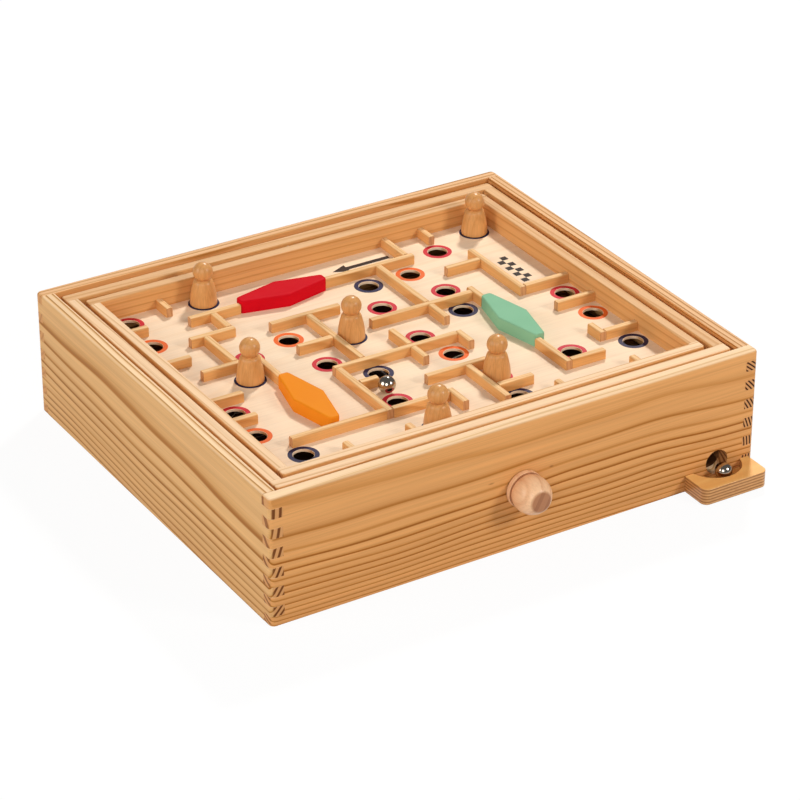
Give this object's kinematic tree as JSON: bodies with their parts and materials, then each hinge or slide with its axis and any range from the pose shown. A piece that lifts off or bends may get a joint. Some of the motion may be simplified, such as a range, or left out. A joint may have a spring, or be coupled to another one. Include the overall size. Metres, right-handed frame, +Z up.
{
  "type": "tilting marble maze",
  "caption": "Wooden tilting marble maze box with two nested frames, round knobs, a walled maze board with ringed ball holes, pawns, coloured lozenges and a ball catch tray.",
  "frame": {"origin": "centre of the box's underside, on the surface it stands on", "axes": "+X to the right, +Y to the back, +Z up; the front knob and the ball outlet face -Y"},
  "size_m": [0.3935, 0.347, 0.1051],
  "materials": {
    "pine": "satin",
    "pine_rail": "satin",
    "maze_ply": "matte",
    "birch_ply": "gloss",
    "beech": "gloss",
    "hardboard": "matte",
    "red_paint": "satin",
    "orange_paint": "satin",
    "green_paint": "satin",
    "steel": "satin",
    "ball_steel": "polished",
    "cord": "matte"
  },
  "bodies": {
    "box": {"box_front": "pine", "box_back": "pine", "box_left": "pine", "box_right": "pine", "base_panel": "hardboard", "ball_ramp": "hardboard", "ramp_wedges": "pine_rail", "outlet_guide": "pine_rail", "catch_tray": "birch_ply", "frame_pivot_pins": "steel"},
    "outer_frame": {"frame_front": "pine_rail", "frame_back": "pine_rail", "frame_left": "pine_rail", "frame_right": "pine_rail", "tray_pivot_pins": "steel", "frame_eyes": "steel", "frame_spring": "steel", "frame_cord": "cord"},
    "tray": {"tray_front": "pine_rail", "tray_back": "pine_rail", "tray_left": "pine_rail", "tray_right": "pine_rail", "maze_board": "maze_ply", "lengthwise_walls": "pine_rail", "crosswise_walls": "pine_rail", "red_lozenge": "red_paint", "orange_lozenge": "orange_paint", "green_lozenge": "green_paint", "tray_eyes": "steel", "tray_spring": "steel", "tray_cord": "cord"},
    "front_shaft": {"front_shaft": "steel", "front_knob": "beech", "front_collar": "steel", "front_winding": "cord"},
    "side_shaft": {"side_shaft": "steel", "side_knob": "beech", "side_collar": "steel", "side_winding": "cord"},
    "maze_ball": {"maze_ball": "ball_steel"},
    "outlet_ball": {"outlet_ball": "ball_steel"},
    "pawn_1": {"pawn_1": "beech"},
    "pawn_2": {"pawn_2": "beech"},
    "pawn_3": {"pawn_3": "beech"},
    "pawn_4": {"pawn_4": "beech"},
    "pawn_5": {"pawn_5": "beech"},
    "pawn_6": {"pawn_6": "beech"}
  },
  "joints": [
    {"name": "frame_tilt", "type": "hinge", "parent": "box", "child": "outer_frame", "pos_m": [0, 0, 0.0865], "axis": [1, 0, 0], "range_deg": [-5, 5], "deforming": ["frame_cord"]},
    {"name": "tray_tilt", "type": "hinge", "parent": "outer_frame", "child": "tray", "pos_m": [0, 0, 0.0865], "axis": [0, 1, 0], "range_deg": [-5, 5], "deforming": ["tray_cord"]},
    {"name": "front_shaft_turn", "type": "hinge", "parent": "box", "child": "front_shaft", "pos_m": [0, 0, 0.044], "axis": [0, 1, 0], "range_deg": [-64, 64]},
    {"name": "side_shaft_turn", "type": "hinge", "parent": "box", "child": "side_shaft", "pos_m": [0, 0, 0.036], "axis": [1, 0, 0], "range_deg": [-74, 74]},
    {"name": "maze_ball_roll", "type": "slide", "parent": "tray", "child": "maze_ball", "axis": [1, 0, 0], "range_m": [-0.007, 0.02]},
    {"name": "outlet_ball_roll", "type": "slide", "parent": "box", "child": "outlet_ball", "axis": [1, 0, 0], "range_m": [-0.006, 0.006]},
    {"name": "pawn_1_lift", "type": "slide", "parent": "tray", "child": "pawn_1", "axis": [0, 0, 1], "range_m": [0, 0.04]},
    {"name": "pawn_2_lift", "type": "slide", "parent": "tray", "child": "pawn_2", "axis": [0, 0, 1], "range_m": [0, 0.04]},
    {"name": "pawn_3_lift", "type": "slide", "parent": "tray", "child": "pawn_3", "axis": [0, 0, 1], "range_m": [0, 0.04]},
    {"name": "pawn_4_lift", "type": "slide", "parent": "tray", "child": "pawn_4", "axis": [0, 0, 1], "range_m": [0, 0.04]},
    {"name": "pawn_5_lift", "type": "slide", "parent": "tray", "child": "pawn_5", "axis": [0, 0, 1], "range_m": [0, 0.04]},
    {"name": "pawn_6_lift", "type": "slide", "parent": "tray", "child": "pawn_6", "axis": [0, 0, 1], "range_m": [0, 0.04]}
  ],
  "couplings": [
    {"joint": "front_shaft_turn", "follows": "tray_tilt", "ratio": 12.7},
    {"joint": "side_shaft_turn", "follows": "frame_tilt", "ratio": 14.7}
  ]
}
